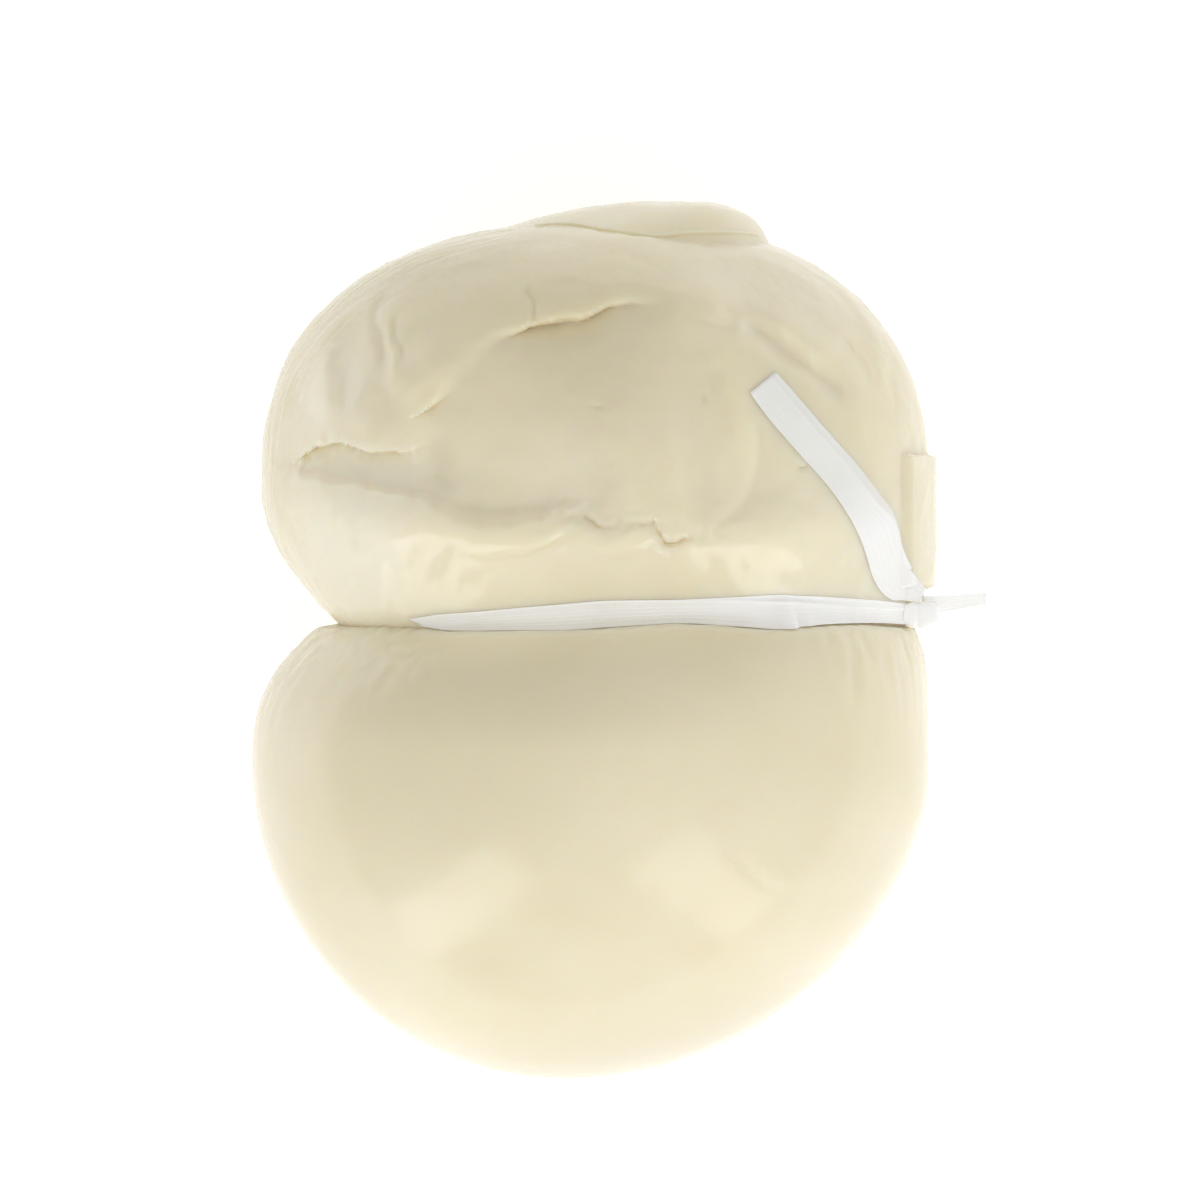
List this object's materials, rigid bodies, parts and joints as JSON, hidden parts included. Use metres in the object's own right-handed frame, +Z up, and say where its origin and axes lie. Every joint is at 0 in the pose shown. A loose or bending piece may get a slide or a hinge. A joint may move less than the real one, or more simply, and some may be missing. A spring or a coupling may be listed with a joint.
{
  "type": "scamorza cheese tied with a ribbon",
  "caption": "Stretched-curd cheese lying on its back: round body, smaller folded head with a hollow in its front, and a flat white ribbon knotted round the neck.",
  "frame": {"origin": "on the surface that the cheese lies on, under the middle of its box", "axes": "+X across the cheese towards the knot, +Y along it from the body to the head, +Z up, the side that shows"},
  "size_m": [0.0832, 0.0996, 0.065],
  "materials": {
    "cheese": "satin",
    "ribbon": "satin"
  },
  "bodies": {
    "root": {"cheese": "cheese", "ribbon": "ribbon"}
  },
  "joints": []
}
